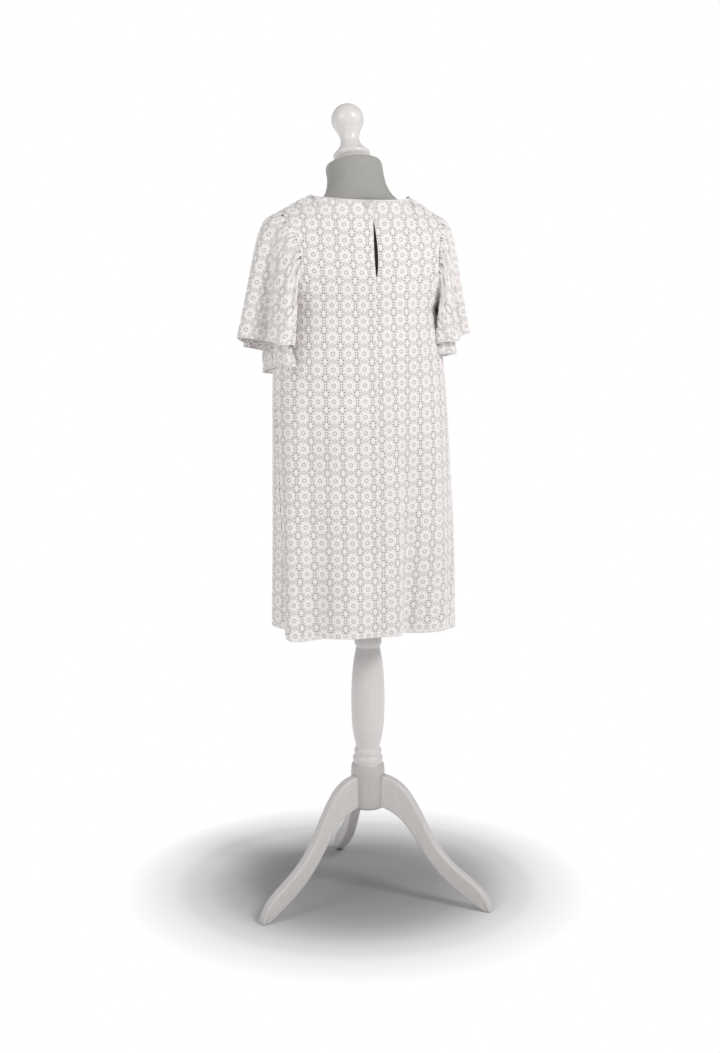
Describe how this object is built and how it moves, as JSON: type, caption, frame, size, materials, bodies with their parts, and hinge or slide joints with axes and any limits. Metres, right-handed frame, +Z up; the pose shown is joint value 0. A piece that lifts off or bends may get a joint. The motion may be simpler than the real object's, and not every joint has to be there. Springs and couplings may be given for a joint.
{
  "type": "lace dress on a limbless dress form with a turned tripod stand",
  "caption": "White lace shift dress with flutter sleeves and a button above a back slit, worn by a grey dress form on a turned white tripod stand.",
  "frame": {"origin": "middle of the part's box, on the floor that the three feet stand on", "axes": "+Z up; +X to the wearer's left; the dress faces -Y, so its back with the slit faces +Y"},
  "size_m": [0.4864, 0.4556, 1.5784],
  "materials": {
    "lace": "white cotton lace with raised flowers; matte",
    "jersey": "mid-grey fine jersey cover, smooth and matte",
    "white_paint": "turned wood, painted white with a satin sheen",
    "white_gloss_paint": "turned wood, painted white with a soft gloss",
    "steel": "plain steel tube",
    "button": "pearly, slightly clear plastic",
    "thread": "white thread"
  },
  "bodies": {
    "root": {"dress_front": "lace", "dress_back_left": "lace", "dress_back_right": "lace", "sleeve_left_outer": "lace", "sleeve_left_under": "lace", "sleeve_right_outer": "lace", "sleeve_right_under": "lace", "nape_button": "button", "nape_loop": "thread", "form_torso": "jersey", "form_finial": "white_gloss_paint", "stand_pole": "steel", "stand_post": "white_paint", "stand_leg_1": "white_paint", "stand_leg_2": "white_paint", "stand_leg_3": "white_paint"}
  },
  "joints": []
}
